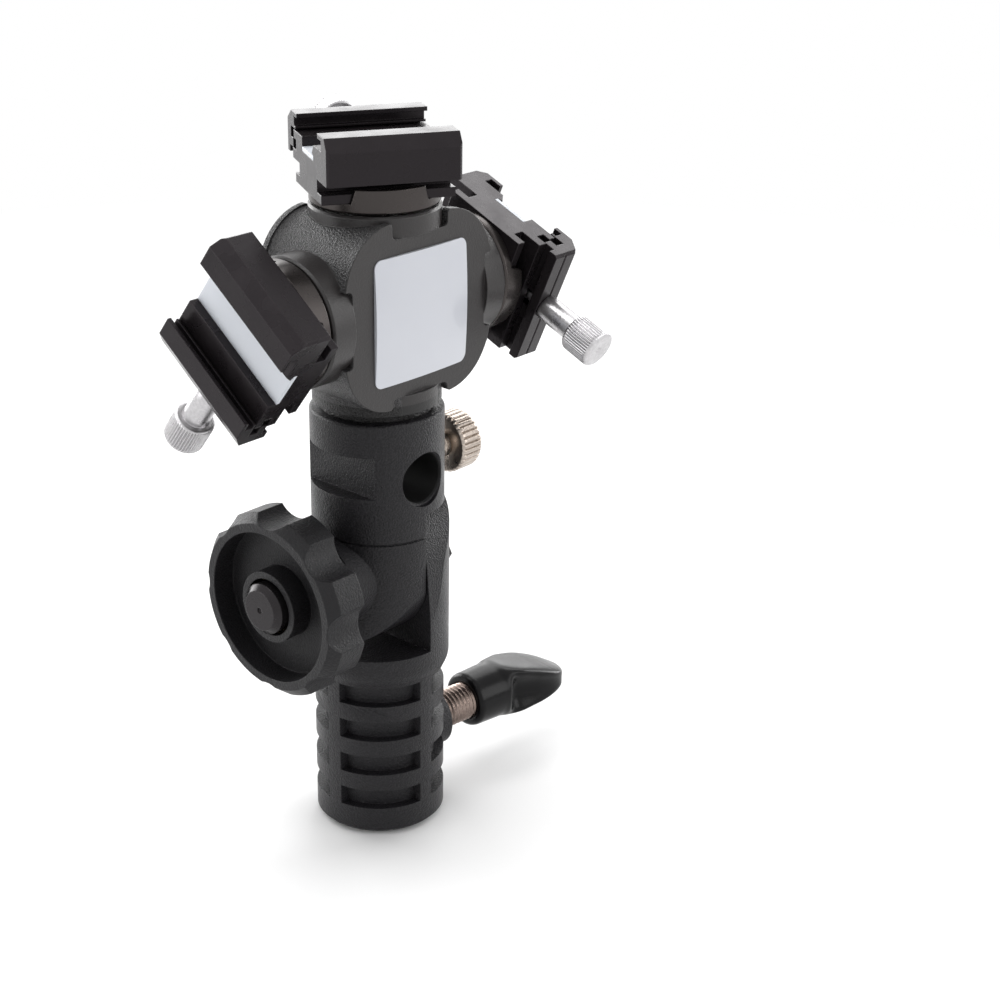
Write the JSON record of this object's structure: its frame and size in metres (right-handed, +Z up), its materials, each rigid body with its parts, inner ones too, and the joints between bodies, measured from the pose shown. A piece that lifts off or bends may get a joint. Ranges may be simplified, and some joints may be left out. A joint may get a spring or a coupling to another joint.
{
  "type": "camera flash bracket",
  "caption": "Flash bracket for a light stand: ribbed socket with clamp, tilting head with umbrella hole and lock knob, hub with swivelling accessory shoes and sliding jaws.",
  "frame": {"origin": "centre of the stand socket's mouth, on the socket's axis", "axes": "+Z up along the socket and head, -Y the hub's front, -X the tilt knob's side"},
  "size_m": [0.0877, 0.0571, 0.1423],
  "materials": {
    "black_casting": "satin black paint, fine texture",
    "anodised": "black anodised extrusion",
    "steel": "turned and knurled steel",
    "black_steel": "black oxide",
    "nickel": "warm nickel plate",
    "brass": "turned",
    "black_plastic": "matt moulded plastic",
    "pale_plate": "bare domed plate",
    "pale_strip": "insulating strip"
  },
  "bodies": {
    "base": {"stand_socket_body": "black_casting", "tilt_bolt": "black_steel"},
    "clamp_stem": {"clamp_stud": "steel"},
    "clamp_handle": {"clamp_wing": "black_plastic"},
    "lock_knob": {"tilt_knob": "black_plastic", "knob_insert": "brass"},
    "head": {"umbrella_holder": "black_casting", "tilt_washer": "black_steel", "hub_casting": "black_casting", "hub_stud": "steel", "front_label": "pale_plate"},
    "rod_screw_stem": {"umbrella_stem": "steel"},
    "rod_screw_head": {"umbrella_thumb": "nickel"},
    "shoe_top": {"swivel_disc_top": "black_casting", "swivel_screw_top": "steel", "shoe_base_top": "anodised", "slot_strip_top": "pale_strip"},
    "jaw_top": {"sliding_jaw_top": "anodised"},
    "thumbscrew_top": {"jaw_screw_top": "steel", "jaw_clip_top": "black_steel"},
    "shoe_right": {"swivel_disc_right": "black_casting", "swivel_screw_right": "steel", "shoe_base_right": "anodised", "slot_strip_right": "pale_strip"},
    "jaw_right": {"sliding_jaw_right": "anodised"},
    "thumbscrew_right": {"jaw_screw_right": "steel", "jaw_clip_right": "black_steel"},
    "shoe_left": {"swivel_disc_left": "black_casting", "swivel_screw_left": "steel", "shoe_base_left": "anodised", "slot_strip_left": "pale_strip"},
    "jaw_left": {"sliding_jaw_left": "anodised"},
    "thumbscrew_left": {"jaw_screw_left": "steel", "jaw_clip_left": "black_steel"}
  },
  "joints": [
    {"name": "tilt", "type": "hinge", "parent": "base", "child": "head", "pos_m": [0, 0, 0.0548], "axis": [1, 0, 0], "range_deg": [-85, 85]},
    {"name": "lock_knob_turn", "type": "hinge", "parent": "base", "child": "lock_knob", "pos_m": [-0.0218, 0, 0.0548], "axis": [-1, 0, 0], "range_deg": [-60, 360]},
    {"name": "clamp_feed", "type": "slide", "parent": "base", "child": "clamp_stem", "axis": [0.9945, -0.1045, 0], "range_m": [-0.0077, 0.003]},
    {"name": "clamp_turn", "type": "hinge", "parent": "clamp_stem", "child": "clamp_handle", "pos_m": [0.02268, -0.00238, 0.015], "axis": [0.9945, -0.1045, 0], "range_deg": [-2775, 1083]},
    {"name": "rod_screw_feed", "type": "slide", "parent": "head", "child": "rod_screw_stem", "axis": [1, 0, 0], "range_m": [-0.0049, 0.0003]},
    {"name": "rod_screw_turn", "type": "hinge", "parent": "rod_screw_stem", "child": "rod_screw_head", "pos_m": [0.0182, 0, 0.0742], "axis": [1, 0, 0], "range_deg": [-2208, 137]},
    {"name": "swivel_top", "type": "hinge", "parent": "head", "child": "shoe_top", "pos_m": [0, 0, 0.1295], "axis": [0, 0, 1], "continuous": true},
    {"name": "jaw_slide_top", "type": "slide", "parent": "shoe_top", "child": "jaw_top", "axis": [0.4939, 0.8695, 0], "range_m": [-0.00175, 0.00175]},
    {"name": "thumbscrew_turn_top", "type": "hinge", "parent": "jaw_top", "child": "thumbscrew_top", "pos_m": [0.01166, 0.02052, 0.13715], "axis": [0.4939, 0.8695, 0], "range_deg": [-1261, 1261]},
    {"name": "swivel_right", "type": "hinge", "parent": "head", "child": "shoe_right", "pos_m": [0.0251, 0, 0.1088], "axis": [1, 0, 0], "continuous": true},
    {"name": "jaw_slide_right", "type": "slide", "parent": "shoe_right", "child": "jaw_right", "axis": [0, -0.9184, -0.3955], "range_m": [-0.00175, 0.00175]},
    {"name": "thumbscrew_turn_right", "type": "hinge", "parent": "jaw_right", "child": "thumbscrew_right", "pos_m": [0.03275, -0.02168, 0.09947], "axis": [0, -0.9184, -0.3955], "range_deg": [-1261, 1261]},
    {"name": "swivel_left", "type": "hinge", "parent": "head", "child": "shoe_left", "pos_m": [-0.0251, 0, 0.1088], "axis": [-1, 0, 0], "continuous": true},
    {"name": "jaw_slide_left", "type": "slide", "parent": "shoe_left", "child": "jaw_left", "axis": [0, 0.6088, -0.7934], "range_m": [-0.00175, 0.00175]},
    {"name": "thumbscrew_turn_left", "type": "hinge", "parent": "jaw_left", "child": "thumbscrew_left", "pos_m": [-0.03275, 0.01437, 0.09008], "axis": [0, 0.6088, -0.7934], "range_deg": [-1261, 1261]}
  ],
  "couplings": [
    {"joint": "clamp_turn", "follows": "clamp_feed", "rad_per_m": 6283.2},
    {"joint": "rod_screw_turn", "follows": "rod_screw_feed", "rad_per_m": 7854},
    {"joint": "thumbscrew_turn_top", "follows": "jaw_slide_top", "rad_per_m": 12566},
    {"joint": "thumbscrew_turn_right", "follows": "jaw_slide_right", "rad_per_m": 12566},
    {"joint": "thumbscrew_turn_left", "follows": "jaw_slide_left", "rad_per_m": 12566}
  ]
}
